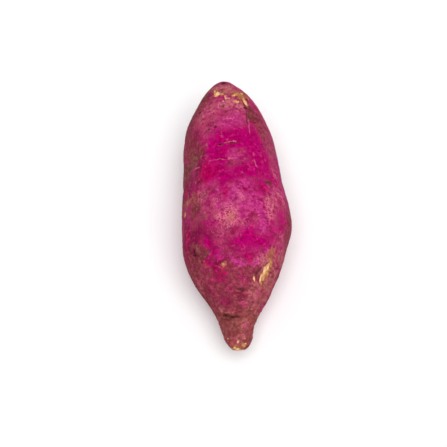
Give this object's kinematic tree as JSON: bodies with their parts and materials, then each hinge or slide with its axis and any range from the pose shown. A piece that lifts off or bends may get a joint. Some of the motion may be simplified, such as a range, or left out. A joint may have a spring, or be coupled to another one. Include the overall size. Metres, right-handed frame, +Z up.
{
  "type": "sweet potato",
  "caption": "Raw sweet potato with purple-red skin: a whole spindle-shaped storage root with a blunt crown and a short thin tail, lying on its belly.",
  "frame": {"origin": "middle of the bounding box's base, in the plane that the belly rests on", "axes": "+Y along the root from the thin tail to the blunt crown, +Z up, +X to the right when the root is seen from above with its crown away from the viewer"},
  "size_m": [0.069, 0.176, 0.0619],
  "materials": {
    "skin": "satin"
  },
  "bodies": {
    "root": {"sweet_potato": "skin"}
  },
  "joints": []
}
